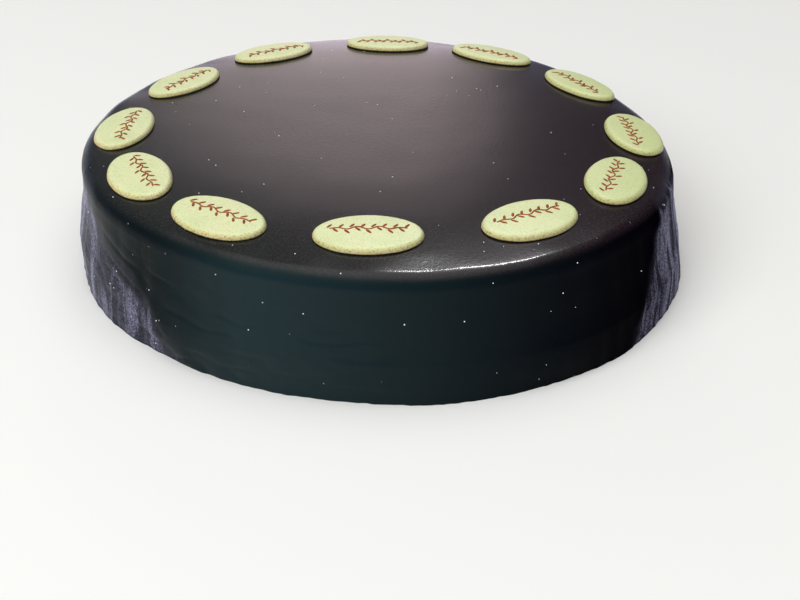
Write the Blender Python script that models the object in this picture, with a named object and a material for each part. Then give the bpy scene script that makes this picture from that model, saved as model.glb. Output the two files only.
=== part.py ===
"""A glazed chocolate torte with a ring of oval marzipan medallions on its top.

Metres, +Z up. The origin is the centre of the flat base, and the front of the cake faces -Y.
The cake is one uncut solid out to the surface of its glaze. Each medallion is a solid of its own.
"""

import math

import bmesh
import bpy
from mathutils import Matrix, Vector

# Driving dimensions of the cake body
BASE_RADIUS = 0.1215
RIM_RADIUS = 0.1170  # side of the cake just under the rounded rim
HEIGHT = 0.0505  # at the middle of the top
CROWN_DROP = 0.0050  # the poured top sinks by this much from the middle to the rim
CROWN_POWER = 4  # flat in the middle, falling away near the rim
RIM_ROUND = 0.0070  # radius of the rounded rim
LEAN = Vector((-0.0025, -0.0020))  # the top was built this far off the middle of the base
FOOT_ROUND = 0.0012  # the glaze turns in by this much where it meets the base

# The cake is a little out of round, in three soft lobes
LOBES = 3
LOBE_DEPTH = 0.0012
LOBE_SIDE = math.radians(80)

# Soft swells that run round the side where the glaze was poured: depth, lobes, turns of phase per metre, phase
SIDE_SWELLS = ((0.0004, 5, -22.0, 2.1), (0.0003, 11, 34.0, 4.0))

# Medallions
MEDALLION_LENGTH = 0.0380
MEDALLION_WIDTH = 0.0228
MEDALLION_THICKNESS = 0.0026
MEDALLION_EDGE = 0.0013  # radius of the rounded upper edge
MEDALLION_FOOT = 0.0004  # small bevel round the lower edge
MEDALLION_CROWN = 0.0003  # the face is slightly pillowed
RING_RADIUS = 0.0980
TOUCH_GAP = 0.0003  # clearance between pieces that touch

# How each medallion was laid by hand, counting from the front round by the right: degrees past its even place
# in the ring, millimetres outwards, and degrees of twist
HAND_PLACING = (
    (-1.5, -8.0, 4.0),
    (5.0, -5.0, -4.0),
    (4.5, -0.5, 6.5),
    (1.0, 3.5, 4.0),
    (2.0, 3.5, 2.5),
    (0.5, 3.5, 2.0),
    (-1.5, 1.0, 2.0),
    (0.5, -1.5, 2.0),
    (2.0, -3.0, -5.0),
    (2.5, 2.5, -7.0),
    (-1.5, 1.0, -3.5),
    (-4.5, -2.0, 2.0),
)

# Mesh steps
COLUMNS = 96
TOP_RINGS = (0.22, 0.45, 0.65, 0.80, 0.91, 1.0)  # shares of the radius where the rim begins
RIM_STEPS = 5
SIDE_ROWS = 7
BLEND_SPEED = 1.6  # the side takes on its full belly and swells this soon under the rim
MEDALLION_SIDES = 28
EDGE_STEPS = 3


def crown_height(radius):
    """Height of the top at a distance from the axis."""
    return HEIGHT - CROWN_DROP * (radius / RIM_RADIUS) ** CROWN_POWER


def crown_slope(radius):
    """Fall of the top per metre outwards."""
    return CROWN_DROP * CROWN_POWER / RIM_RADIUS * (radius / RIM_RADIUS) ** (CROWN_POWER - 1)


def out_of_round(angle):
    """How far the cake stands out from a true circle."""
    return LOBE_DEPTH * math.cos(LOBES * (angle - LOBE_SIDE))


def side_radius(angle, z):
    """Radius of the glazed side: it bellies out towards the base and swells softly."""
    share = max(0.0, 1.0 - z / HEIGHT)
    radius = BASE_RADIUS - (BASE_RADIUS - RIM_RADIUS) * (1.0 - share) ** 2 + out_of_round(angle)
    for depth, lobes, climb, phase in SIDE_SWELLS:
        radius += depth * share * math.sin(lobes * angle + 2 * math.pi * climb * z + phase)
    return radius


def side_outline(angle):
    """(radius, height) pairs at one angle, from near the axis over the rim and down to the base."""
    rim_start = RIM_RADIUS - RIM_ROUND
    tilt = math.atan(crown_slope(rim_start))
    points = []
    for share in TOP_RINGS:
        radius = share * rim_start
        points.append((radius + share * out_of_round(angle), crown_height(radius)))

    centre_r = rim_start - RIM_ROUND * math.sin(tilt)
    centre_z = crown_height(rim_start) - RIM_ROUND * math.cos(tilt)
    for step in range(1, RIM_STEPS + 1):
        turn = tilt + (math.pi / 2 - tilt) * step / RIM_STEPS
        radius = centre_r + RIM_ROUND * math.sin(turn) + out_of_round(angle)
        points.append((radius, centre_z + RIM_ROUND * math.cos(turn)))

    rim_end = points[-1][0]
    for step in range(1, SIDE_ROWS + 1):
        z = centre_z + (FOOT_ROUND - centre_z) * step / SIDE_ROWS
        blend = min(1.0, BLEND_SPEED * step / SIDE_ROWS)
        points.append((rim_end + (side_radius(angle, z) - rim_end) * blend, z))
    points.append((points[-1][0] - 0.5 * FOOT_ROUND, 0.25 * FOOT_ROUND))
    points.append((points[-2][0] - FOOT_ROUND, 0.0))
    return points


def new_material(name, colour, roughness):
    """A plain Principled material."""
    material = bpy.data.materials.new(name)
    material.use_nodes = True
    shader = material.node_tree.nodes["Principled BSDF"]
    shader.inputs["Base Color"].default_value = (*colour, 1.0)
    shader.inputs["Roughness"].default_value = roughness
    shader.inputs["Metallic"].default_value = 0.0
    return material


def add_object(name, mesh, material):
    """Puts a mesh in the scene as one named, smooth-shaded object."""
    if not mesh.materials:
        mesh.materials.append(material)
    mesh.shade_smooth()
    mesh.set_sharp_from_angle(angle=math.radians(40))
    obj = bpy.data.objects.new(name, mesh)
    bpy.context.scene.collection.objects.link(obj)
    return obj


def stack_rings(bm, rings):
    """Joins rings of vertices, top to bottom, with quads, and closes the last ring with one face."""
    for upper, lower in zip(rings, rings[1:]):
        for i in range(len(upper)):
            j = (i + 1) % len(upper)
            bm.faces.new((upper[i], lower[i], lower[j], upper[j]))
    bm.faces.new(list(reversed(rings[-1])))


def close_top(bm, ring, place):
    """Closes the first ring with a fan round one point."""
    tip = bm.verts.new(place)
    for i in range(len(ring)):
        bm.faces.new((tip, ring[i], ring[(i + 1) % len(ring)]))


def cake_mesh():
    """The whole glazed cake, turned from an outline that changes round the axis."""
    bm = bmesh.new()
    angles = [2 * math.pi * i / COLUMNS for i in range(COLUMNS)]
    outlines = [side_outline(angle) for angle in angles]
    rings = []
    for row in range(len(outlines[0])):
        ring = []
        for angle, outline in zip(angles, outlines):
            radius, z = outline[row]
            offset = LEAN * (z / HEIGHT)
            x = radius * math.cos(angle) + offset.x
            y = radius * math.sin(angle) + offset.y
            ring.append(bm.verts.new((x, y, z)))
        rings.append(ring)
    close_top(bm, rings[0], (LEAN.x, LEAN.y, HEIGHT))
    stack_rings(bm, rings)
    mesh = bpy.data.meshes.new("glazed_cake")
    bm.to_mesh(mesh)
    bm.free()
    return mesh


def medallion_mesh():
    """One oval lozenge, flat below, with a rounded upper edge and a slightly pillowed face."""
    face_start = MEDALLION_THICKNESS - MEDALLION_CROWN
    levels = [(-MEDALLION_EDGE - 0.004, face_start + 0.75 * MEDALLION_CROWN)]
    for step in range(EDGE_STEPS + 1):
        turn = math.pi / 2 * step / EDGE_STEPS
        drop = MEDALLION_EDGE * (1 - math.cos(turn))
        levels.append((MEDALLION_EDGE * (math.sin(turn) - 1), face_start - drop))
    levels.append((0.0, MEDALLION_FOOT))
    levels.append((-MEDALLION_FOOT, 0.0))

    bm = bmesh.new()
    rings = []
    for inset, z in levels:
        half_length = MEDALLION_LENGTH / 2 + inset
        half_width = MEDALLION_WIDTH / 2 + inset
        ring = []
        for i in range(MEDALLION_SIDES):
            turn = 2 * math.pi * i / MEDALLION_SIDES
            ring.append(bm.verts.new((half_length * math.cos(turn), half_width * math.sin(turn), z)))
        rings.append(ring)
    close_top(bm, rings[0], (0.0, 0.0, MEDALLION_THICKNESS))
    stack_rings(bm, rings)
    mesh = bpy.data.meshes.new("medallion")
    bm.to_mesh(mesh)
    bm.free()
    return mesh


def medallion_place(number):
    """Where a medallion lies: its long axis along the ring, its base on the slope of the top."""
    past, outward, twist = HAND_PLACING[number]
    turn = 2 * math.pi * number / len(HAND_PLACING) - math.pi / 2 + math.radians(past)
    outwards = Vector((math.cos(turn), math.sin(turn), 0.0))
    radius = RING_RADIUS + outward / 1000
    up = (outwards * crown_slope(radius) + Vector((0.0, 0.0, 1.0))).normalized()
    along = (Matrix.Rotation(math.radians(twist), 3, "Z") @ Vector((-outwards.y, outwards.x, 0.0))).normalized()
    along = (along - up * along.dot(up)).normalized()
    turned = Matrix((along, up.cross(along), up)).transposed().to_4x4()
    spot = outwards * radius + Vector((0.0, 0.0, crown_height(radius)))
    spot += (LEAN * (spot.z / HEIGHT)).to_3d()
    return Matrix.Translation(spot + up * TOUCH_GAP) @ turned


def main():
    for obj in list(bpy.data.objects):
        bpy.data.objects.remove(obj)
    glaze = new_material("chocolate_glaze", (0.016, 0.011, 0.010), 0.22)
    marzipan = new_material("marzipan", (0.62, 0.70, 0.36), 0.55)

    add_object("glazed_cake", cake_mesh(), glaze)

    shared = medallion_mesh()
    for number in range(len(HAND_PLACING)):
        medallion = add_object(f"medallion_{number + 1:02d}", shared, marzipan)
        medallion.matrix_world = medallion_place(number)


main()
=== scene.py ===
"""A whole glazed torte with a ring of marzipan medallions, dressed for rendering.

Metres, +Z up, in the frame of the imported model. The front of the cake faces -Y.
"""

import math

import bmesh
import bpy
import numpy as np
from mathutils import Matrix, Vector, noise


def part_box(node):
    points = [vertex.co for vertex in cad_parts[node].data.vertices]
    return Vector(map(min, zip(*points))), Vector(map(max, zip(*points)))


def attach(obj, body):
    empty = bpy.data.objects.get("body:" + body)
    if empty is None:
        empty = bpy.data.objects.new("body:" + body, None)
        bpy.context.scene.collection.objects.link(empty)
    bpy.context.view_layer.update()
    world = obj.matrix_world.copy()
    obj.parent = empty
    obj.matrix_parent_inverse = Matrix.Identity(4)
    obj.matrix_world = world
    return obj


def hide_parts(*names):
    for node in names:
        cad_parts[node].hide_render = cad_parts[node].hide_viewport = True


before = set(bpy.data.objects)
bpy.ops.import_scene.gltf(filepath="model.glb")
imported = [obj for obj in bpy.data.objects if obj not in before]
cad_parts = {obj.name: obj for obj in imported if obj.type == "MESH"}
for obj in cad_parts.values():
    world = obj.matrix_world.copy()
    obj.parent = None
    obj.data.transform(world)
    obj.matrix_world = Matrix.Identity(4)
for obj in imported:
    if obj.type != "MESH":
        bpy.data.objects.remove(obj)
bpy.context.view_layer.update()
MM = 0.001

# ---- Poured glaze ------------------------------------------------------------------------------------------
# A cooked chocolate and sugar glaze, poured warm over the whole cake and left to run down. It sets with a
# satin top, a soft rim, long runs and palette-knife swells on the side, and a rough edge where it met the
# board.

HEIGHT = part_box("glazed_cake")[1].z  # at the middle of the top
BASE_RADIUS = 121.5 * MM
RIM_RADIUS = 117.0 * MM
CROWN_DROP = 5.0 * MM
CROWN_POWER = 4
RIM_ROUND = 7.0 * MM
LEAN = Vector((-2.5, -2.0)) * MM  # the top stands this far off the middle of the base
LOBES = 3
LOBE_DEPTH = 1.2 * MM
LOBE_SIDE = math.radians(80)
SIDE_SWELLS = (  # depth, lobes, turns of phase per metre, phase
    (0.4 * MM, 5, -22.0, 2.1),
    (0.3 * MM, 11, 34.0, 4.0),
)
BELLY_SPEED = 1.6  # the side takes on its full belly and swells this soon under the rim
GLAZE_COLUMNS = 560
TOP_RINGS = 40
TOP_SPACING = 0.8  # below 1, the rings lie closer together near the rim
RIM_RINGS = 18
SIDE_RINGS = 66
BARE_RADIUS = 118.0 * MM  # inside this the underside is bare sponge
BARE_DEPTH = 0.6 * MM

TOP_RELIEF = 0.06 * MM
TOP_RELIEF_LENGTH = 18 * MM
RIM_WOBBLE = 0.45 * MM
RIM_WOBBLE_LENGTH = 21 * MM
RIM_WOBBLE_REACH = 10 * MM  # how far in over the top the rim stays uneven
RIM_WOBBLE_FADE = 3  # below the rim it fades out in one part in this many of the side
RIM_SIDENESS = 0.6  # share of the side's relief at the lower end of the rim
SIDENESS_GAIN = 2  # it grows to the whole this fast down the side
RUN_DEPTH = 0.28 * MM
RUN_WIDTH = 7 * MM
RUN_STRETCH = 0.14  # the runs change this much slower down the side than across it
KNIFE_DEPTH = 0.55 * MM
KNIFE_LENGTH = 70 * MM
KNIFE_BAND = 13 * MM
FOOT_HEIGHT = 2.2 * MM  # the edge left by the board: a small ragged bead
FOOT_DEPTH = 0.35 * MM
FOOT_LENGTH = 9 * MM
FOOT_BEADS = 3  # in that length
DRAG_DEPTH = 0.45 * MM
DRAG_SOFTNESS = 11 * MM
DRAG_WAVER = 5  # millimetres by which the edge below wavers
DRAG_WAVERS = 8.0  # about this many times in a radius round the side
DRAG_EDGE = (  # upper edge of what the knife left flatter and duller: degrees round, millimetres up
    (-198, -8), (-186, 16), (-174, 42), (-165, 50), (-157, 46), (-149, 38), (-143, 33),
    (-137, 28), (-132, 21), (-120, -8), (-46, -8), (-40, 11), (-36, 26), (-31, 40),
    (-26, 52), (-20, 60), (-12, 50), (-3, 24), (8, -8), (162, -8),
)
MARK_SIDE = math.radians(-128)
MARK_DEPTH = 0.32 * MM  # short level dents on one side, where the knife was lifted
MARK_LENGTH = 15 * MM
MARK_HEIGHT = 6 * MM
MARK_WIDTH = 0.30
MARK_FADE = 4  # they fade out in one part in this many of the side, under the rim
MARK_GATHER = 3  # higher gathers them closer to their side

# Where each relief is read in the noise, so that no two are alike
TOP_SLICE = 3.0
WOBBLE_SLICE = 5.0
RUN_SLICE = 7.0
KNIFE_SLICE = 9.0
MARK_SLICE = (2.0, 4.0)
FOOT_SLICE = Vector((1.0, 2.0, 3.0))


def crown_height(radius):
    """Height of the poured top at a distance from its middle."""
    return HEIGHT - CROWN_DROP * (radius / RIM_RADIUS) ** CROWN_POWER


def crown_slope(radius):
    """Fall of the poured top per metre outwards."""
    return CROWN_DROP * CROWN_POWER / RIM_RADIUS * (radius / RIM_RADIUS) ** (CROWN_POWER - 1)


RIM_START = RIM_RADIUS - RIM_ROUND
RIM_TILT = math.atan(crown_slope(RIM_START))
ARC_RADIUS = RIM_START - RIM_ROUND * math.sin(RIM_TILT)
ARC_HEIGHT = crown_height(RIM_START) - RIM_ROUND * math.cos(RIM_TILT)


def out_of_round(angle):
    """How far the cake stands out from a true circle."""
    return LOBE_DEPTH * math.cos(LOBES * (angle - LOBE_SIDE))


def side_radius(angle, z):
    """Radius of the glazed side, which bellies out towards the base and swells softly."""
    share = max(0.0, 1.0 - z / HEIGHT)
    radius = BASE_RADIUS - (BASE_RADIUS - RIM_RADIUS) * (1.0 - share) ** 2 + out_of_round(angle)
    for depth, lobes, climb, phase in SIDE_SWELLS:
        radius += depth * share * math.sin(lobes * angle + 2 * math.pi * climb * z + phase)
    return radius


def eased(share):
    """A share from 0 to 1 that starts and ends gently."""
    return share * share * (3 - 2 * share)


def dragged(angle, z):
    """From 0 to 1, how much the palette knife dragged the setting glaze at this place on the side."""
    degrees = (math.degrees(angle) - DRAG_EDGE[0][0]) % 360 + DRAG_EDGE[0][0]
    height = DRAG_EDGE[0][1]
    for (before, low), (after, high) in zip(DRAG_EDGE, DRAG_EDGE[1:]):
        if before <= degrees <= after:
            height = low + (high - low) * (degrees - before) / (after - before)
    spot = Vector((math.cos(angle), math.sin(angle), z / HEIGHT))
    height += DRAG_WAVER * noise.noise(spot * DRAG_WAVERS)
    return eased(min(1.0, max(0.0, (height * MM - z) / DRAG_SOFTNESS)))


def glaze_relief(angle, radius, z, sideness, rimness):
    """Height of the glaze's own relief. Both shares run from 0 to 1: on the side, and near the rim."""
    x, y = math.cos(angle), math.sin(angle)
    around = Vector((x, y, 0.0)) * RIM_RADIUS
    top = noise.noise(Vector((radius * x, radius * y, TOP_SLICE)) / TOP_RELIEF_LENGTH)
    wobble = noise.noise(around / RIM_WOBBLE_LENGTH + Vector((WOBBLE_SLICE, 0.0, z / RIM_WOBBLE_LENGTH)))
    runs = noise.noise(around / RUN_WIDTH + Vector((0.0, RUN_SLICE, z * RUN_STRETCH / RUN_WIDTH)))
    knife = noise.noise(around / KNIFE_LENGTH + Vector((0.0, 0.0, KNIFE_SLICE + z / KNIFE_BAND)))
    marks = noise.noise(around / MARK_LENGTH + Vector((MARK_SLICE[0], 0.0, MARK_SLICE[1] + z / MARK_HEIGHT)))
    marks = max(0.0, 1 - abs(marks) / MARK_WIDTH) * min(1.0, MARK_FADE * (1 - z / ARC_HEIGHT))
    marks *= max(0.0, math.cos(angle - MARK_SIDE)) ** MARK_GATHER
    foot = max(0.0, 1 - z / FOOT_HEIGHT) * noise.noise(around / FOOT_LENGTH * FOOT_BEADS + FOOT_SLICE)
    return (
        TOP_RELIEF * top * (1 - sideness)
        + RIM_WOBBLE * wobble * rimness
        + sideness * (RUN_DEPTH * runs + KNIFE_DEPTH * knife + FOOT_DEPTH * foot)
        - sideness * (DRAG_DEPTH * dragged(angle, z) + MARK_DEPTH * marks)
    )


def glaze_outline(angle):
    """Radius and height from the middle of the top, over the rim and down to the base."""
    smooth = []  # radius, height, outward and upward direction of the relief, sideness, rimness
    for ring in range(1, TOP_RINGS + 1):
        share = (ring / TOP_RINGS) ** TOP_SPACING
        radius = share * RIM_START
        lean = math.atan(crown_slope(radius))
        near = max(0.0, 1 - (RIM_START - radius) / RIM_WOBBLE_REACH)
        spot = (radius + share * out_of_round(angle), crown_height(radius))
        smooth.append((*spot, math.sin(lean), math.cos(lean), 0.0, eased(near)))
    for ring in range(1, RIM_RINGS + 1):
        share = ring / RIM_RINGS
        turn = RIM_TILT + (math.pi / 2 - RIM_TILT) * share
        out, up = math.sin(turn), math.cos(turn)
        radius = ARC_RADIUS + RIM_ROUND * out + out_of_round(angle)
        smooth.append((radius, ARC_HEIGHT + RIM_ROUND * up, out, up, RIM_SIDENESS * share, 1.0))
    rim_end = smooth[-1][0]
    for ring in range(1, SIDE_RINGS + 1):
        share = ring / SIDE_RINGS
        z = ARC_HEIGHT * (1 - share)
        radius = rim_end + (side_radius(angle, z) - rim_end) * min(1.0, BELLY_SPEED * share)
        sideness = min(1.0, RIM_SIDENESS + SIDENESS_GAIN * share)
        smooth.append((radius, z, 1.0, 0.0, sideness, max(0.0, 1 - RIM_WOBBLE_FADE * share)))
    lifted = []
    for radius, z, out, up, sideness, rimness in smooth:
        lift = glaze_relief(angle, radius, z, sideness, rimness)
        lifted.append((radius + out * lift, z + up * lift))
    return lifted


def closed_mesh(name, rings, tip, floor_tip):
    """Joins rings of points, top to bottom, with quads, and closes both ends with a fan round a point."""
    bm = bmesh.new()
    made = [[bm.verts.new(point) for point in ring] for ring in rings]
    first, last = bm.verts.new(tip), bm.verts.new(floor_tip)
    for i in range(len(made[0])):
        j = (i + 1) % len(made[0])
        bm.faces.new((first, made[0][i], made[0][j]))
        bm.faces.new((last, made[-1][j], made[-1][i]))
        for upper, lower in zip(made, made[1:]):
            bm.faces.new((upper[i], lower[i], lower[j], upper[j]))
    mesh = bpy.data.meshes.new(name)
    bm.to_mesh(mesh)
    bm.free()
    mesh.shade_smooth()
    mesh.set_sharp_from_angle(angle=math.radians(60))
    return mesh


def place_piece(name, mesh, material, slot, *replaced):
    """Puts a finished mesh in the scene on the one body, in place of its CAD nodes."""
    piece = bpy.data.objects.new(name, mesh)
    bpy.context.scene.collection.objects.link(piece)
    mesh.materials.clear()
    mesh.materials.append(material)
    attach(piece, "root")
    if replaced:
        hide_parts(*replaced)
    return piece


def hex_colour(code):
    """Linear RGBA from an sRGB hex value."""
    channels = [int(code[i : i + 2], 16) / 255 for i in (1, 3, 5)]
    linear = [c / 12.92 if c <= 0.04045 else ((c + 0.055) / 1.055) ** 2.4 for c in channels]
    return (*linear, 1.0)


def set_inputs(tree, node, values):
    """Sets a node's inputs, named or numbered. A socket is linked, and a hex value is a colour."""
    for key, value in values.items():
        if isinstance(value, bpy.types.NodeSocket):
            tree.links.new(value, node.inputs[key])
        else:
            node.inputs[key].default_value = hex_colour(value) if isinstance(value, str) else value


def add_node(tree, kind, settings=None, inputs=None, stops=()):
    """Adds a node with its properties, its inputs, and a ramp's stops as (position, hex colour) pairs."""
    made = tree.nodes.new(kind)
    for key, value in (settings or {}).items():
        setattr(made, key, value)
    set_inputs(tree, made, inputs or {})
    if stops:
        elements = made.color_ramp.elements
        elements.remove(elements[-1])
        elements[0].position = stops[0][0]
        elements[0].color = hex_colour(stops[0][1])
        for position, code in stops[1:]:
            elements.new(position).color = hex_colour(code)
    return made


def new_material(name):
    """A node material, with its node tree, its shader and the object coordinates."""
    material = bpy.data.materials.new(name)
    material.use_nodes = True
    tree = material.node_tree
    place = add_node(tree, "ShaderNodeTexCoord").outputs["Object"]
    return material, tree, tree.nodes["Principled BSDF"], place


SMOOTH = {"interpolation_type": "SMOOTHSTEP"}
TIMES = {"operation": "MULTIPLY"}
TIMES_PLUS = {"operation": "MULTIPLY_ADD"}
COLOURS = {"data_type": "RGBA"}

# Set chocolate glaze: nearly black with a satin skin, and it mirrors the room softly. Its colour and shine
# also carry painted light: a browner top and a colder, darker teal side, and painted shade that darkens it and
# dims its shine towards the right and at the left end of the side. Sugar bloom frosts what the knife dragged,
# and its pale blue-grey there is also a painted cool reflection on the flanks.
SIDE_SHINE = 0.44  # of the side on its left; painted shade takes it down to none towards the right
END_SHADE_DIMMING = 0.28  # painted shade: loss of shine at the left end
STREAK_SPACING = 6.67 * MM
STREAK_STRETCH = 0.16  # the streaks change this much slower down the side than across it
FROST_GRAIN = 0.714 * MM  # real bloom is finer, and is drawn as coarse as it needs to show
SKIN_GRAIN = 1.25 * MM
DRAG_WEAR = 0.24  # how much the knife adds to the streaks
FROST_AND_REFLECTION_COVER = 0.42  # of the glaze's colour, taken by the bloom and its painted cool reflection
END_REFLECTION_COVER = 0.34  # more of it at the left end, where the painted reflection is brighter

glaze, tree, shader, place = new_material("set_chocolate_glaze")
normal = add_node(tree, "ShaderNodeNewGeometry").outputs["Normal"]
facing = add_node(tree, "ShaderNodeSeparateXYZ", None, {0: normal})
across = add_node(tree, "ShaderNodeSeparateXYZ", None, {0: place}).outputs["X"]
topness = add_node(
    tree, "ShaderNodeMapRange", SMOOTH, {"Value": facing.outputs["Z"], "From Min": 0.58, "From Max": 0.995}
).outputs["Result"]
# Painted shade: from the left of the cake to the right, the glaze darkens and loses its shine
glaze_right_shade = add_node(
    tree, "ShaderNodeMapRange", SMOOTH, {"Value": across, "From Min": -70 * MM, "From Max": 100 * MM}
).outputs["Result"]
# Painted shade at the left end of the side: darker, with less shine, but more painted reflection in the bloom
end_shade = add_node(
    tree, "ShaderNodeMapRange", SMOOTH, {"Value": across, "From Min": -40 * MM, "From Max": -85 * MM}
).outputs["Result"]
# Painted light: a teal side, darker at the left end and near black on the right, and a top darkening to purple
side_colour = add_node(
    tree, "ShaderNodeMix", COLOURS, {"Factor": end_shade, 6: "#172a2d", 7: "#0c1416"}
).outputs[2]
side_colour = add_node(
    tree, "ShaderNodeMix", COLOURS, {"Factor": glaze_right_shade, 6: side_colour, 7: "#040207"}
).outputs[2]
top_colour = add_node(
    tree, "ShaderNodeMix", COLOURS, {"Factor": glaze_right_shade, 6: "#1b1e1d", 7: "#1c0f15"}
).outputs[2]
base_colour = add_node(
    tree, "ShaderNodeMix", COLOURS, {"Factor": topness, 6: side_colour, 7: top_colour}
).outputs[2]

# Painted shade in the side's shine: it falls to none on the right and drops at the left end
side_shine = add_node(
    tree, "ShaderNodeMath", TIMES_PLUS, {0: glaze_right_shade, 1: -SIDE_SHINE, 2: SIDE_SHINE}
).outputs[0]
side_shine = add_node(
    tree, "ShaderNodeMath", TIMES_PLUS, {0: end_shade, 1: -END_SHADE_DIMMING, 2: side_shine}
).outputs[0]
# Painted shade: the top's shine and coat fall towards the right
top_shine = add_node(
    tree, "ShaderNodeMapRange", SMOOTH,
    {"Value": across, "From Min": 40 * MM, "From Max": 100 * MM, "To Min": 0.38, "To Max": 0.20},
).outputs["Result"]
shine = add_node(
    tree, "ShaderNodeMapRange", None, {"Value": topness, "To Min": side_shine, "To Max": top_shine}
).outputs["Result"]
top_coat = add_node(
    tree, "ShaderNodeMapRange", SMOOTH,
    {"Value": across, "From Min": 40 * MM, "From Max": 100 * MM, "To Min": 0.50, "To Max": 0.18},
).outputs["Result"]
coat = add_node(tree, "ShaderNodeMath", TIMES, {0: topness, 1: top_coat}).outputs[0]

streak_place = add_node(
    tree, "ShaderNodeMapping", None, {"Vector": place, "Scale": (1.0, 1.0, STREAK_STRETCH)}
).outputs["Vector"]
streaks = add_node(
    tree, "ShaderNodeTexNoise", None,
    {
        "Vector": streak_place, "Scale": 1 / STREAK_SPACING, "Detail": 3.0, "Roughness": 0.6,
        "Distortion": 0.9,
    },
).outputs["Fac"]
frost_grain = add_node(
    tree, "ShaderNodeTexNoise", None, {"Vector": place, "Scale": 1 / FROST_GRAIN, "Detail": 2.0}
).outputs["Fac"]
drag = add_node(tree, "ShaderNodeAttribute", {"attribute_name": "dragged"}).outputs["Fac"]
worn = add_node(tree, "ShaderNodeMath", TIMES_PLUS, {0: drag, 1: DRAG_WEAR, 2: streaks}).outputs[0]
streak_share = add_node(
    tree, "ShaderNodeMapRange", None,
    {"Value": worn, "From Min": 0.66, "From Max": 0.82, "To Min": 0.20, "To Max": 1.0},
).outputs["Result"]
grain_share = add_node(
    tree, "ShaderNodeMapRange", None,
    {"Value": frost_grain, "From Min": 0.40, "From Max": 0.60, "To Min": 0.25, "To Max": 1.0},
).outputs["Result"]
# Sugar bloom where the knife dragged; its pale blue-grey is also a painted cool reflection on the flanks
frost_and_reflection = add_node(tree, "ShaderNodeMath", TIMES, {0: drag, 1: streak_share}).outputs[0]
frost_and_reflection = add_node(tree, "ShaderNodeMath", TIMES, {0: frost_and_reflection, 1: grain_share}).outputs[0]
bloom_grain = add_node(
    tree, "ShaderNodeMapRange", None,
    {"Value": frost_grain, "From Min": 0.48, "From Max": 0.66, "To Max": 0.035},
).outputs["Result"]
bloom = add_node(tree, "ShaderNodeMath", TIMES, {0: bloom_grain, 1: topness}).outputs[0]
bloomed = add_node(
    tree, "ShaderNodeMix", COLOURS, {"Factor": bloom, 6: base_colour, 7: "#a09aa2"}
).outputs[2]
# More of the painted reflection at the left end
cover = add_node(
    tree, "ShaderNodeMath", TIMES_PLUS, {0: end_shade, 1: END_REFLECTION_COVER, 2: FROST_AND_REFLECTION_COVER}
).outputs[0]
covered = add_node(tree, "ShaderNodeMath", TIMES, {0: frost_and_reflection, 1: cover}).outputs[0]
frosted_and_reflected = add_node(
    tree, "ShaderNodeMix", COLOURS, {"Factor": covered, 6: bloomed, 7: "#84829b"}
).outputs[2]

roughness = add_node(
    tree, "ShaderNodeMapRange", None, {"Value": drag, "To Min": 0.27, "To Max": 0.42}
).outputs["Result"]
skin = add_node(
    tree, "ShaderNodeTexNoise", None, {"Vector": place, "Scale": 1 / SKIN_GRAIN, "Detail": 3.0}
).outputs["Fac"]
skin_bump = add_node(
    tree, "ShaderNodeBump", None, {"Height": skin, "Strength": 0.09, "Distance": 0.4 * MM}
).outputs["Normal"]
streak_strength = add_node(
    tree, "ShaderNodeMapRange", None, {"Value": topness, "To Min": 0.10, "To Max": 0.0}
).outputs["Result"]
streak_bump = add_node(
    tree, "ShaderNodeBump", None,
    {"Height": streaks, "Strength": streak_strength, "Distance": 1.2 * MM, "Normal": skin_bump},
).outputs["Normal"]
set_inputs(tree, shader, {
    "Base Color": frosted_and_reflected, "Roughness": roughness, "IOR": 1.27, "Specular IOR Level": shine,
    "Normal": streak_bump, "Coat Weight": coat, "Coat Roughness": 0.05, "Coat IOR": 1.3,
    "Coat Normal": skin_bump, "Sheen Weight": frost_and_reflection, "Sheen Roughness": 0.35, "Sheen Tint": "#c4c2df",
})

angles = [2 * math.pi * i / GLAZE_COLUMNS for i in range(GLAZE_COLUMNS)]
outlines = [glaze_outline(angle) for angle in angles]
glaze_rings = []
for row in range(len(outlines[0])):
    ring = []
    for angle, outline in zip(angles, outlines):
        radius, z = outline[row]
        offset = LEAN * (z / HEIGHT)
        x = radius * math.cos(angle) + offset.x
        y = radius * math.sin(angle) + offset.y
        ring.append((x, y, max(0.0, z)))
    glaze_rings.append(ring)
for radius, z in ((BARE_RADIUS, 0.0), (BARE_RADIUS, BARE_DEPTH)):
    glaze_rings.append([(radius * math.cos(angle), radius * math.sin(angle), z) for angle in angles])
glaze_mesh = closed_mesh("poured_glaze", glaze_rings, (LEAN.x, LEAN.y, HEIGHT), (0.0, 0.0, BARE_DEPTH))
drag_values = []
for vertex in glaze_mesh.vertices:
    flat = vertex.co.xy - LEAN * (vertex.co.z / HEIGHT)
    sideness = min(1.0, max(0.0, (flat.length - RIM_START) / RIM_ROUND)) if vertex.co.z > 0.0 else 0.0
    drag_values.append(sideness * dragged(math.atan2(flat.y, flat.x), vertex.co.z))
glaze_mesh.attributes.new("dragged", "FLOAT", "POINT").data.foreach_set("value", drag_values)
place_piece("poured_glaze", glaze_mesh, glaze, "chocolate_glaze", "glazed_cake")

# ---- Bare underside ----------------------------------------------------------------------------------------
# The cake stands on its sponge, which the glaze reaches only at the edge. Baked chocolate sponge, brown and
# open-pored, it shows only when the cake is lifted.

CRUMB_STEP = 2.5 * MM
CRUMB_RISE = 0.25 * MM
UNDERSIDE_COLUMNS = 300
SPONGE_EDGE = BARE_RADIUS - 0.1 * MM
SPONGE_TOP = 2 * BARE_DEPTH  # inside the glaze
SPONGE_LIFT = 0.15 * MM  # the sponge sits this far up in the glazed edge

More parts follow.
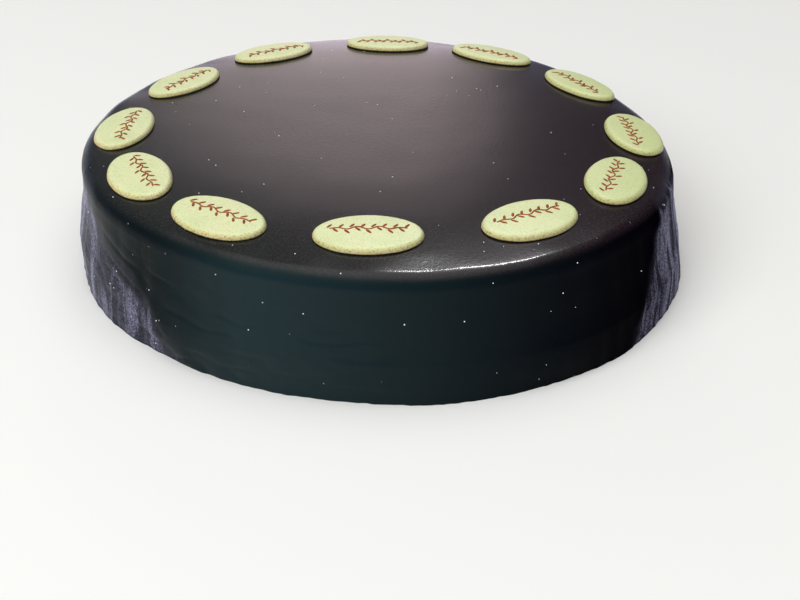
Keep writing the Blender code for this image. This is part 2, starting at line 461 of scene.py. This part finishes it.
# Baked chocolate sponge: dry and matt, with painted shade dark in its pores and the crumb between them lighter.
PORE = 2.22 * MM
sponge, tree, shader, place = new_material("baked_chocolate_sponge")
pores = add_node(tree, "ShaderNodeTexVoronoi", None, {"Vector": place, "Scale": 1 / PORE})
pore_colour = add_node(
    tree, "ShaderNodeValToRGB", None, {"Fac": pores.outputs["Distance"]},
    stops=[(0.05, "#1c0f0b"), (0.45, "#3a2218"), (0.80, "#4a2d20")],
)
set_inputs(tree, shader, {
    "Base Color": pore_colour.outputs["Color"], "Roughness": 0.9, "Specular IOR Level": 0.2,
})

sponge_levels = [(SPONGE_EDGE, SPONGE_TOP)]
for step in range(int(BARE_RADIUS / CRUMB_STEP)):
    sponge_levels.append((SPONGE_EDGE - step * CRUMB_STEP, SPONGE_LIFT))
sponge_rings = []
for radius, z in sponge_levels:
    ring = []
    for i in range(UNDERSIDE_COLUMNS):
        turn = 2 * math.pi * i / UNDERSIDE_COLUMNS
        spot = Vector((radius * math.cos(turn), radius * math.sin(turn), z))
        spot.z += CRUMB_RISE * max(0.0, noise.noise(spot / CRUMB_STEP))
        ring.append(spot)
    sponge_rings.append(ring)
sponge_mesh = closed_mesh("bare_underside", sponge_rings, (0.0, 0.0, SPONGE_TOP), (0.0, 0.0, SPONGE_LIFT))
place_piece("bare_underside", sponge_mesh, sponge, "chocolate_glaze")

# ---- Sugar specks and painted glints -----------------------------------------------------------------------
# Stray grains of sugar and popped bubbles on the set glaze, each under a millimetre. Their white is partly the
# sugar's own and partly painted glints: they show as tiny white points.

SPECKS_PER_SQUARE_METRE = 2500.0
SPECK_SMALLEST = 0.07 * MM
SPECK_LARGEST = 0.30 * MM
SPECK_LOWEST = 2 * MM  # none cling lower than this
SPECK_SEED = 11


def grow_tree(name, *sockets):
    """A Geometry Nodes tree with named inputs, given as (name, socket type) pairs after the geometry."""
    tree = bpy.data.node_groups.new(name, "GeometryNodeTree")
    tree.interface.new_socket("Geometry", in_out="INPUT", socket_type="NodeSocketGeometry")
    tree.interface.new_socket("Geometry", in_out="OUTPUT", socket_type="NodeSocketGeometry")
    for label, kind in sockets:
        tree.interface.new_socket(label, in_out="INPUT", socket_type=kind)
    return tree, tree.nodes.new("NodeGroupInput").outputs


def grown_mesh(name, base, tree, values):
    """Runs a Geometry Nodes tree on a mesh and returns the plain mesh that it makes."""
    carrier = bpy.data.objects.new(name, base)
    bpy.context.scene.collection.objects.link(carrier)
    modifier = carrier.modifiers.new(name, "NODES")
    modifier.node_group = tree
    for item in tree.interface.items_tree:
        if item.in_out == "INPUT" and item.name in values:
            modifier[item.identifier] = values[item.name]
    evaluated = carrier.evaluated_get(bpy.context.evaluated_depsgraph_get())
    mesh = bpy.data.meshes.new_from_object(evaluated)
    bpy.data.objects.remove(carrier)
    return mesh


# Sugar: small clear-white crystals, bright against the glaze; the white also stands for painted glints.
sugar_and_glints, tree, shader, _ = new_material("sugar_crystals_and_glints")
set_inputs(tree, shader, {"Base Color": "#eef0f2", "Roughness": 0.2})

tree, given = grow_tree(
    "scatter_specks", ("Density", "NodeSocketFloat"), ("Smallest", "NodeSocketFloat"),
    ("Largest", "NodeSocketFloat"), ("Seed", "NodeSocketInt"), ("Material", "NodeSocketMaterial"),
)
spots = add_node(
    tree, "GeometryNodeDistributePointsOnFaces", None,
    {"Mesh": given["Geometry"], "Density": given["Density"], "Seed": given["Seed"]},
)
size = add_node(
    tree, "FunctionNodeRandomValue", {"data_type": "FLOAT"},
    {2: given["Smallest"], 3: given["Largest"], "Seed": given["Seed"]},
)
grain = add_node(tree, "GeometryNodeMeshIcoSphere", None, {"Radius": 1.0, "Subdivisions": 1})
grains = add_node(
    tree, "GeometryNodeInstanceOnPoints", None,
    {
        "Points": spots.outputs["Points"], "Instance": grain.outputs["Mesh"],
        "Rotation": spots.outputs["Rotation"], "Scale": size.outputs[1],
    },
)
solid = add_node(tree, "GeometryNodeRealizeInstances", None, {"Geometry": grains.outputs["Instances"]})
coloured = add_node(
    tree, "GeometryNodeSetMaterial", None,
    {"Geometry": solid.outputs["Geometry"], "Material": given["Material"]},
)
add_node(tree, "NodeGroupOutput", None, {"Geometry": coloured.outputs["Geometry"]})
speck_values = {
    "Density": SPECKS_PER_SQUARE_METRE, "Smallest": SPECK_SMALLEST, "Largest": SPECK_LARGEST,
    "Seed": SPECK_SEED, "Material": sugar_and_glints,
}
scattered = grown_mesh("scattered", glaze_mesh.copy(), tree, speck_values)
kept = bmesh.new()
kept.from_mesh(scattered)
low = [vertex for vertex in kept.verts if vertex.co.z < SPECK_LOWEST]
bmesh.ops.delete(kept, geom=low, context="VERTS")
torn = [face for face in kept.faces if any(edge.is_boundary for edge in face.edges)]
bmesh.ops.delete(kept, geom=torn, context="FACES")
kept.to_mesh(scattered)
kept.free()
place_piece("sugar_and_glint_specks", scattered, sugar_and_glints, "chocolate_glaze")

# ---- Medallions --------------------------------------------------------------------------------------------
# Twelve flat ovals of rolled marzipan, one for each portion, cut with an oval cutter and smoothed by hand.
# Each lies on the set glaze with its long side along the rim, and gives a little where the rim falls away.

MEDALLION_LENGTH = 38.0 * MM
MEDALLION_WIDTH = 22.8 * MM
MEDALLION_THICKNESS = 2.6 * MM
MEDALLION_SIDES = 120
FACE_RINGS = 12
EDGE_RINGS = 12
EDGE_ROUND = 1.9 * MM
UNDERCUT = 0.45 * MM  # the lower edge turns in under the paste
SINK = 0.2 * MM  # the underside lies this far into the glaze
FACE_CROWN = 0.3 * MM
OUTLINE_WOBBLE = 0.25 * MM
OUTLINE_BENDS = 1.3  # higher bends the outline more often
PASTE_RELIEF = 0.10 * MM
PASTE_GRAIN = 0.9 * MM
PASTE_DENT = 7 * MM
GRAIN_SHARE = 0.4  # of the relief
DENT_SHARE = 0.8
SEED_STEP = (3.1, 1.7)  # each medallion reads the noise this far from the last


def top_height(x, y):
    """Height of the glaze at a place on the top or over the rounded rim."""
    flat = Vector((x, y)) - LEAN * (ARC_HEIGHT / HEIGHT)
    radius = flat.length - out_of_round(math.atan2(flat.y, flat.x)) * min(1.0, flat.length / RIM_START)
    if radius < RIM_START:
        return crown_height(radius)
    reach = min(RIM_ROUND, radius - ARC_RADIUS)
    return ARC_HEIGHT + math.sqrt(RIM_ROUND**2 - reach**2)


def medallion_lie(node):
    """The matrix that lays a medallion as its CAD solid lies: x along it, y towards the middle, z up."""
    corners = np.array([vertex.co for vertex in node.data.vertices])
    middle = corners.mean(axis=0)
    along, inwards, up = (Vector(axis) for axis in np.linalg.svd(corners - middle, full_matrices=False)[2])
    if up.z < 0:
        up = -up
    if inwards.dot(Vector(middle)) > 0:
        inwards = -inwards
    along = inwards.cross(up)
    lowest = min((Vector(corner) - Vector(middle)).dot(up) for corner in corners)
    turned = Matrix((along, inwards, up)).transposed().to_4x4()
    return Matrix.Translation(Vector(middle) + up * lowest) @ turned


def face_height(x, y):
    """Height of the medallion's pillowed face above its flat underside."""
    share = min(1.0, (2 * x / MEDALLION_LENGTH) ** 2 + (2 * y / MEDALLION_WIDTH) ** 2)
    return MEDALLION_THICKNESS - FACE_CROWN * share


def drape(lie, point):
    """Takes a point from the medallion's own frame to the cake, and lets it down onto the glaze below."""
    put = lie @ Vector(point)
    seat = lie @ Vector((point[0], point[1], 0.0))
    put.z += top_height(seat.x, seat.y) - seat.z
    return put


def medallion_rings(lie, seed):
    """Rings of one lozenge of paste: pillowed face, rounded edge, and an underside on the glaze."""
    shift = Vector((SEED_STEP[0] * seed, SEED_STEP[1] * seed, 0.0))
    levels = []  # inset from the outline, and drop below the face
    for ring in range(1, FACE_RINGS):
        levels.append((EDGE_ROUND + (MEDALLION_WIDTH / 2 - EDGE_ROUND) * (1 - ring / FACE_RINGS), 0.0))
    for ring in range(EDGE_RINGS + 1):
        turn = math.pi / 2 * ring / EDGE_RINGS
        levels.append((EDGE_ROUND * (1 - math.sin(turn)), EDGE_ROUND * (1 - math.cos(turn))))
    rings = []
    for inset, drop in levels:
        even = min(1.0, inset / EDGE_ROUND)  # the outline's wobble dies away over the rounded edge
        half_length = MEDALLION_LENGTH / 2 - inset
        if inset > EDGE_ROUND:  # the edge keeps its width, and the face shrinks in proportion
            inner = (MEDALLION_WIDTH / 2 - inset) / (MEDALLION_WIDTH / 2 - EDGE_ROUND)
            half_length = (MEDALLION_LENGTH / 2 - EDGE_ROUND) * inner
        ring = []
        for i in range(MEDALLION_SIDES):
            turn = 2 * math.pi * i / MEDALLION_SIDES
            direction = Vector((math.cos(turn), math.sin(turn), 0.0))
            wobble = OUTLINE_WOBBLE * noise.noise(direction * OUTLINE_BENDS + shift)
            x = (half_length + wobble * (1 - even)) * direction.x
            y = (MEDALLION_WIDTH / 2 - inset + wobble * (1 - even)) * direction.y
            grain = noise.noise(Vector((x, y, drop)) / PASTE_GRAIN + shift)
            dents = noise.noise(Vector((x, y, 0.0)) / PASTE_DENT - shift)
            z = face_height(x, y) - drop + PASTE_RELIEF * (GRAIN_SHARE * grain + DENT_SHARE * dents)
            ring.append(drape(lie, (x, y, z)))
        rings.append(ring)
    ring = []
    for i in range(MEDALLION_SIDES):
        turn = 2 * math.pi * i / MEDALLION_SIDES
        x = (MEDALLION_LENGTH / 2 - UNDERCUT) * math.cos(turn)
        y = (MEDALLION_WIDTH / 2 - UNDERCUT) * math.sin(turn)
        ring.append(drape(lie, (x, y, -SINK)))
    rings.append(ring)
    return rings


# Rolled marzipan: almond paste tinted pale green, matt to satin and a little translucent. Painted shade makes
# it darker and greener to the right. Its fine grit shows as darker and yellower specks where the cutter
# dragged the edge, and a painted contact shadow darkens its foot on the glaze.
PASTE_BLOTCH = 11.1 * MM
ALMOND_GRIT = 0.667 * MM  # ground almond is finer, and is drawn as coarse as it needs to show

marzipan, tree, shader, place = new_material("rolled_marzipan")
normal = add_node(tree, "ShaderNodeNewGeometry").outputs["Normal"]
facing = add_node(tree, "ShaderNodeSeparateXYZ", None, {0: normal})
edge = add_node(
    tree, "ShaderNodeMapRange", SMOOTH, {"Value": facing.outputs["Z"], "From Min": 0.985, "From Max": 0.40}
).outputs["Result"]
blotch = add_node(
    tree, "ShaderNodeTexNoise", None, {"Vector": place, "Scale": 1 / PASTE_BLOTCH, "Detail": 4.0}
).outputs["Fac"]
face_colour = add_node(
    tree, "ShaderNodeValToRGB", None, {"Fac": blotch},
    stops=[(0.30, "#d3dda6"), (0.52, "#dae2ae"), (0.72, "#dfe2af")],
).outputs["Color"]
edge_colour = add_node(
    tree, "ShaderNodeValToRGB", None, {"Fac": blotch}, stops=[(0.30, "#cfcb8c"), (0.70, "#d8c78f")]
).outputs["Color"]
paste = add_node(
    tree, "ShaderNodeMix", COLOURS, {"Factor": edge, 6: face_colour, 7: edge_colour}
).outputs[2]
across = add_node(tree, "ShaderNodeSeparateXYZ", None, {0: place}).outputs["X"]
# Painted shade: darker and greener towards the right
paste_right_shade = add_node(
    tree, "ShaderNodeMapRange", SMOOTH,
    {"Value": across, "From Min": 20 * MM, "From Max": 110 * MM, "To Max": 0.6},
).outputs["Result"]
right_shaded_paste = add_node(tree, "ShaderNodeMix", COLOURS, {"Factor": paste_right_shade, 6: paste, 7: "#bccb80"}).outputs[2]
grit = add_node(
    tree, "ShaderNodeTexNoise", None, {"Vector": place, "Scale": 1 / ALMOND_GRIT, "Detail": 2.0}
).outputs["Fac"]
edge_grit = add_node(
    tree, "ShaderNodeMapRange", None, {"Value": edge, "To Min": 0.30, "To Max": 1.0}
).outputs["Result"]
grit_share = add_node(
    tree, "ShaderNodeMapRange", None, {"Value": grit, "From Min": 0.50, "From Max": 0.68, "To Max": 0.75}
).outputs["Result"]
grit_share = add_node(tree, "ShaderNodeMath", TIMES, {0: grit_share, 1: edge_grit}).outputs[0]
speckled = add_node(
    tree, "ShaderNodeMix", COLOURS, {"Factor": grit_share, 6: right_shaded_paste, 7: "#94743f"}
).outputs[2]
# Painted contact shadow: dark olive on the two lowest rings, where the paste meets the glaze
contact_shade = add_node(tree, "ShaderNodeAttribute", {"attribute_name": "contact_shaded"}).outputs["Fac"]
contact_shaded_paste = add_node(
    tree, "ShaderNodeMix", COLOURS, {"Factor": contact_shade, 6: speckled, 7: "#3a3212"}
).outputs[2]
grit_bump = add_node(
    tree, "ShaderNodeBump", None, {"Height": grit, "Strength": 0.35, "Distance": 0.4 * MM}
).outputs["Normal"]
set_inputs(tree, shader, {
    "Base Color": contact_shaded_paste, "Roughness": 0.50, "IOR": 1.45, "Normal": grit_bump,
    "Subsurface Weight": 0.10, "Subsurface Radius": (1.0, 0.9, 0.5), "Subsurface Scale": 1.2 * MM,
})

lies = {}
for name, node in sorted(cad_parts.items()):
    if name.startswith("medallion"):
        lies[name] = medallion_lie(node)
for seed, (name, lie) in enumerate(lies.items()):
    tip = drape(lie, (0.0, 0.0, MEDALLION_THICKNESS))
    underside = drape(lie, (0.0, 0.0, -SINK))
    rings = medallion_rings(lie, seed)
    mesh = closed_mesh(name, rings, tip, underside)
    contact_shaded = [0.0] * len(mesh.vertices)  # painted contact shadow on the two lowest rings
    for spot in range((len(rings) - 2) * MEDALLION_SIDES, len(rings) * MEDALLION_SIDES):
        contact_shaded[spot] = 1.0
    mesh.attributes.new("contact_shaded", "FLOAT", "POINT").data.foreach_set("value", contact_shaded)
    place_piece(f"marzipan_{name}", mesh, marzipan, "marzipan", name)

# ---- Piped sprigs ------------------------------------------------------------------------------------------
# A sprig piped along each medallion in red-brown chocolate: a wavy stem with small leaves on both sides. It
# stands a little above the face, and a little nearer the middle of the cake.

STEM_HALF = 13.2 * MM  # half the length of the stem
STEM_WAVE = 0.8 * MM
STEM_BENDS = 7
STEM_TAPER = 4  # the wave grows in over one part in this many of the stem, at each end
STEM_POINTS = 90
STEM_WIDTH = 0.30 * MM  # half the width of the line
STEM_SIDES = 8
LEAVES = 2 * STEM_BENDS + 1
LEAF_LENGTH = 1.45 * MM  # half the length of a leaf
LEAF_WIDTH = 0.52 * MM
LEAF_OUT = 1.45 * MM  # from the stem to the middle of a leaf
LEAF_TILT = math.radians(52)
PIPED_RISE = 0.7  # height of a line as a share of its half width
SPRIG_SHIFT = 1.6 * MM

tree, given = grow_tree(
    "pipe_sprig", ("Stem Width", "NodeSocketFloat"), ("Leaf Length", "NodeSocketFloat"),
    ("Leaf Width", "NodeSocketFloat"), ("Leaf Out", "NodeSocketFloat"), ("Leaf Tilt", "NodeSocketFloat"),
    ("Leaves", "NodeSocketInt"), ("Material", "NodeSocketMaterial"),
)
stem = add_node(tree, "GeometryNodeMeshToCurve", None, {"Mesh": given["Geometry"]}).outputs["Curve"]
round_line = add_node(
    tree, "GeometryNodeCurvePrimitiveCircle", None, {"Resolution": STEM_SIDES, "Radius": given["Stem Width"]}
)
line = add_node(
    tree, "GeometryNodeCurveToMesh", None,
    {"Curve": stem, "Profile Curve": round_line.outputs["Curve"], "Fill Caps": True},
)
leaf_spots = add_node(tree, "GeometryNodeResampleCurve", None, {"Curve": stem, "Count": given["Leaves"]})
leaf_points = add_node(
    tree, "GeometryNodeCurveToPoints", {"mode": "EVALUATED"}, {"Curve": leaf_spots.outputs["Curve"]}
)
# The leaves go to one side and the other in turn: 1 on the even ones and -1 on the odd
number = add_node(tree, "GeometryNodeInputIndex").outputs[0]
odd = add_node(tree, "ShaderNodeMath", {"operation": "MODULO"}, {0: number, 1: 2.0}).outputs[0]
side = add_node(tree, "ShaderNodeMath", TIMES_PLUS, {0: odd, 1: -2.0, 2: 1.0}).outputs[0]
tilt = add_node(tree, "ShaderNodeMath", TIMES, {0: side, 1: given["Leaf Tilt"]}).outputs[0]
leaf_turn = add_node(tree, "ShaderNodeCombineXYZ", None, {"Z": tilt})
leaf_size = add_node(
    tree, "ShaderNodeCombineXYZ", None,
    {"X": given["Leaf Length"], "Y": given["Leaf Width"], "Z": given["Stem Width"]},
)
leaf = add_node(tree, "GeometryNodeMeshIcoSphere", None, {"Radius": 1.0, "Subdivisions": 2})
leaves = add_node(
    tree, "GeometryNodeInstanceOnPoints", None,
    {
        "Points": leaf_points.outputs["Points"], "Instance": leaf.outputs["Mesh"],
        "Rotation": leaf_turn.outputs[0], "Scale": leaf_size.outputs[0],
    },
)
out = add_node(tree, "ShaderNodeMath", TIMES, {0: side, 1: given["Leaf Out"]}).outputs[0]
out_way = add_node(tree, "ShaderNodeCombineXYZ", None, {"Y": out})
moved = add_node(
    tree, "GeometryNodeTranslateInstances", None,
    {"Instances": leaves.outputs["Instances"], "Translation": out_way.outputs[0], "Local Space": False},
)
sprig = add_node(tree, "GeometryNodeJoinGeometry", None, {"Geometry": line.outputs["Mesh"]})
tree.links.new(moved.outputs["Instances"], sprig.inputs["Geometry"])
solid = add_node(tree, "GeometryNodeRealizeInstances", None, {"Geometry": sprig.outputs["Geometry"]})
coloured = add_node(
    tree, "GeometryNodeSetMaterial", None,
    {"Geometry": solid.outputs["Geometry"], "Material": given["Material"]},
)
add_node(tree, "NodeGroupOutput", None, {"Geometry": coloured.outputs["Geometry"]})

# Red-brown chocolate line: matt and thin, so its colour wanders between rust and brown along a stroke.
LINE_PATCH = 1.11 * MM
ink, ink_tree, shader, place = new_material("piped_brown_line")
thinness = add_node(
    ink_tree, "ShaderNodeTexNoise", None, {"Vector": place, "Scale": 1 / LINE_PATCH, "Detail": 2.0}
)
ink_colour = add_node(
    ink_tree, "ShaderNodeValToRGB", None, {"Fac": thinness.outputs["Fac"]},
    stops=[(0.35, "#7c3008"), (0.65, "#a54d0e")],
)
set_inputs(ink_tree, shader, {
    "Base Color": ink_colour.outputs["Color"], "Roughness": 0.6, "Specular IOR Level": 0.2,
})

stem_path = []
for i in range(STEM_POINTS + 1):
    share = i / STEM_POINTS
    swing = STEM_WAVE * math.sin(math.pi * STEM_BENDS * share)
    wave = swing * min(1.0, STEM_TAPER * share, STEM_TAPER * (1 - share))
    stem_path.append((STEM_HALF * (2 * share - 1), wave, 0.0))
stem_line = bpy.data.meshes.new("stem")
stem_line.from_pydata(stem_path, [(i, i + 1) for i in range(STEM_POINTS)], [])
sprig_values = {
    "Stem Width": STEM_WIDTH, "Leaf Length": LEAF_LENGTH, "Leaf Width": LEAF_WIDTH, "Leaf Out": LEAF_OUT,
    "Leaf Tilt": LEAF_TILT, "Leaves": LEAVES, "Material": ink,
}
flat_sprig = grown_mesh("sprig", stem_line, tree, sprig_values)

for number, lie in enumerate(lies.values(), start=1):
    mesh = flat_sprig.copy()
    for vertex in mesh.vertices:
        x, y = vertex.co.x, vertex.co.y + SPRIG_SHIFT
        vertex.co = drape(lie, (x, y, face_height(x, y) + PIPED_RISE * vertex.co.z))
    mesh.shade_smooth()
    place_piece(f"piped_sprig_{number:02d}", mesh, ink, "marzipan")

# ---- Studio ------------------------------------------------------------------------------------------------
# A pale table in a softly lit room. The room is dim at the sides and brighter overhead, with one broad glow low
# behind the cake that the top mirrors. A big soft light stands at the left front, and a long lamp draws the
# thin line on the front rim.

bpy.context.scene.view_settings.view_transform = "Standard"
FLOOR_REACH = 3.0
floor_mesh = bpy.data.meshes.new("floor")
floor_corners = [(x * FLOOR_REACH, y * FLOOR_REACH, 0.0) for x, y in ((-1, -1), (1, -1), (1, 1), (-1, 1))]
floor_mesh.from_pydata(floor_corners, [], [(0, 1, 2, 3)])
floor = bpy.data.objects.new("floor", floor_mesh)
bpy.context.scene.collection.objects.link(floor)

# Painted table: matt and nearly white, with no mirror of its own.
table, tree, shader, _ = new_material("pale_table")
set_inputs(tree, shader, {"Base Color": "#f2f3f1", "Roughness": 0.9, "Specular IOR Level": 0.0})
floor_mesh.materials.append(table)

world = bpy.data.worlds.new("studio")
bpy.context.scene.world = world
world.use_nodes = True
tree = world.node_tree
sky_way = add_node(tree, "ShaderNodeTexCoord").outputs["Generated"]
sky_parts = add_node(tree, "ShaderNodeSeparateXYZ", None, {0: sky_way})
sky_up = add_node(tree, "ShaderNodeMath", {"operation": "ARCSINE"}, {0: sky_parts.outputs["Z"]}).outputs[0]
sky_round = add_node(
    tree, "ShaderNodeMath", {"operation": "ARCTAN2"}, {0: sky_parts.outputs["X"], 1: sky_parts.outputs["Y"]}
).outputs[0]  # 0 behind the cake, growing to the right


def glow(strength, tint, *fades):
    """A patch of the room's light, full where every fade is full; a fade is (angle, none at, full at)."""
    share = strength
    for angle, none, full in fades:
        fade = add_node(
            tree, "ShaderNodeMapRange", SMOOTH,
            {"Value": angle, "From Min": math.radians(none), "From Max": math.radians(full)},
        ).outputs["Result"]
        share = add_node(tree, "ShaderNodeMath", TIMES, {0: fade, 1: share}).outputs[0]
    colour = hex_colour(tint)[:3]
    return add_node(tree, "ShaderNodeVectorMath", {"operation": "SCALE"}, {0: colour, "Scale": share})


glows = (
    glow(0.14, "#f4f4ff", (sky_up, -90.0, -80.0)),  # dim, everywhere
    glow(2.15, "#fffdf8", (sky_up, 42.0, 80.0)),  # overhead
    glow(1.74, "#ffe9ea", (sky_up, 39.0, 20.0), (sky_round, -21.0, -1.0), (sky_round, 8.5, 1.0)),  # behind
    glow(0.55, "#b9c3ff", (sky_up, 14.0, 4.0)),  # cool, low all round
)
total = glows[0].outputs[0]
for patch in glows[1:]:
    total = add_node(
        tree, "ShaderNodeVectorMath", {"operation": "ADD"}, {0: total, 1: patch.outputs[0]}
    ).outputs[0]
tree.links.new(total, tree.nodes["Background"].inputs["Color"])


def add_panel(name, spot, aim, width, height, power):
    """A rectangular light panel at a spot, facing what it is aimed at."""
    light = bpy.data.lights.new(name, "AREA")
    light.shape = "RECTANGLE"
    light.size = width
    light.size_y = height
    light.energy = power
    panel = bpy.data.objects.new(name, light)
    panel.location = spot
    panel.rotation_euler = (Vector(aim) - Vector(spot)).to_track_quat("-Z", "Y").to_euler()
    bpy.context.scene.collection.objects.link(panel)
    return panel


soft_key = add_panel(
    "soft_key", spot=(-0.85, -1.15, 1.15), aim=(0.0, 0.0, 0.0), width=1.3, height=1.1, power=20.0
)
soft_key.visible_glossy = False
long_lamp = add_panel(
    "long_lamp", spot=(0.21, 0.54, 0.92), aim=(0.03, -0.11, 0.05), width=0.26, height=0.07, power=6.0
)
long_lamp.visible_diffuse = False

# Camera: 54 cm from the middle of the base and 28 degrees above the table, turned a little clockwise.
CAMERA_REACH = 0.5435
CAMERA_LIFT = math.radians(28.23)
CAMERA_ROLL = math.radians(1.34)
CAMERA_SENSOR = 36.0  # millimetres, as is the lens
CAMERA_LENS = 58.65
CAMERA_SHIFT = (0.0216, -0.0810)
camera_data = bpy.data.cameras.new("camera")
camera_data.sensor_width = CAMERA_SENSOR
camera_data.lens = CAMERA_LENS
camera_data.shift_x, camera_data.shift_y = CAMERA_SHIFT
camera = bpy.data.objects.new("camera", camera_data)
bpy.context.scene.collection.objects.link(camera)
back = Vector((0.0, -math.cos(CAMERA_LIFT), math.sin(CAMERA_LIFT)))
right = Vector((1.0, 0.0, 0.0))
up = back.cross(right)
rolled_right = right * math.cos(CAMERA_ROLL) + up * math.sin(CAMERA_ROLL)
rolled_up = up * math.cos(CAMERA_ROLL) - right * math.sin(CAMERA_ROLL)
turned = Matrix((rolled_right, rolled_up, back)).transposed().to_4x4()
camera.matrix_world = Matrix.Translation(back * CAMERA_REACH) @ turned
bpy.context.scene.camera = camera
